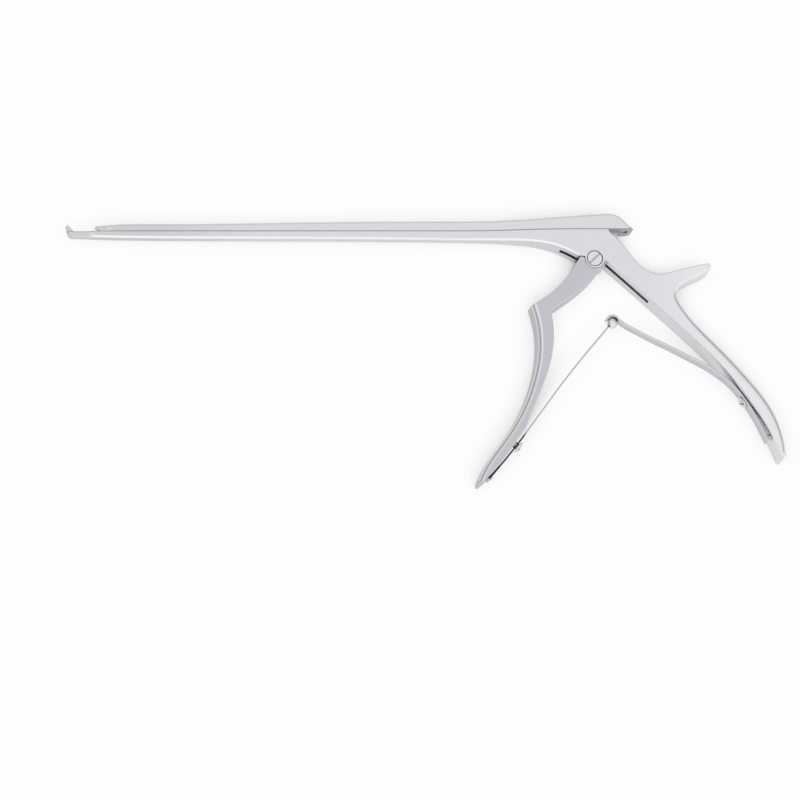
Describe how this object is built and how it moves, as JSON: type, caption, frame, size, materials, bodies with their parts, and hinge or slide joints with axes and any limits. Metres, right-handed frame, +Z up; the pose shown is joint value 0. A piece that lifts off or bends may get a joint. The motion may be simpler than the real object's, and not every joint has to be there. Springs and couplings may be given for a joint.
{
  "type": "bone rongeur",
  "caption": "Laminectomy bone punch with a long shaft, upturned footplate, sliding cutter, squeeze handles and two leaf springs joined by a ball.",
  "frame": {"origin": "on the pivot axis, in the plane of the flat side that the instrument lies on", "axes": "+X from the cutting tip towards the handles, +Y from the handles towards the slide, +Z up through the thickness"},
  "size_m": [0.2681, 0.1043, 0.01],
  "materials": {
    "steel": "satin",
    "screw_steel": "polished",
    "spring_steel": "polished"
  },
  "bodies": {
    "frame": {"frame": "steel", "pivot_screw": "screw_steel", "rear_spring_screw": "screw_steel", "rear_spring_pin": "screw_steel"},
    "trigger": {"trigger": "steel", "front_spring_screw": "screw_steel", "front_spring_pin": "screw_steel"},
    "slide": {"slide": "steel", "drive_pin": "screw_steel"},
    "front_leaf": {"front_spring": "spring_steel", "spring_ball": "spring_steel"},
    "rear_leaf": {"rear_spring": "spring_steel"}
  },
  "joints": [
    {"name": "trigger_pivot", "type": "hinge", "parent": "frame", "child": "trigger", "pos_m": [0, 0, 0.005], "axis": [0, 0, 1], "range_deg": [0, 43], "stiffness_Nm_per_rad": 0.6, "springref_deg": -45.84},
    {"name": "slide_travel", "type": "slide", "parent": "frame", "child": "slide", "axis": [-1, 0, 0], "range_m": [0, 0.01036]},
    {"name": "front_leaf_flex", "type": "hinge", "parent": "trigger", "child": "front_leaf", "pos_m": [-0.02973, -0.06554, 0.005], "axis": [0, 0, 1], "range_deg": [0, 8.06], "deforming": ["front_spring"]},
    {"name": "rear_leaf_flex", "type": "hinge", "parent": "frame", "child": "rear_leaf", "pos_m": [0.05035, -0.0488, 0.005], "axis": [0, 0, 1], "range_deg": [-13.48, 0], "deforming": ["rear_spring"]}
  ],
  "couplings": [
    {"joint": "slide_travel", "follows": "trigger_pivot", "m_per_rad": 0.0138},
    {"joint": "front_leaf_flex", "follows": "trigger_pivot", "ratio": 0.18735},
    {"joint": "rear_leaf_flex", "follows": "trigger_pivot", "ratio": -0.31355}
  ]
}
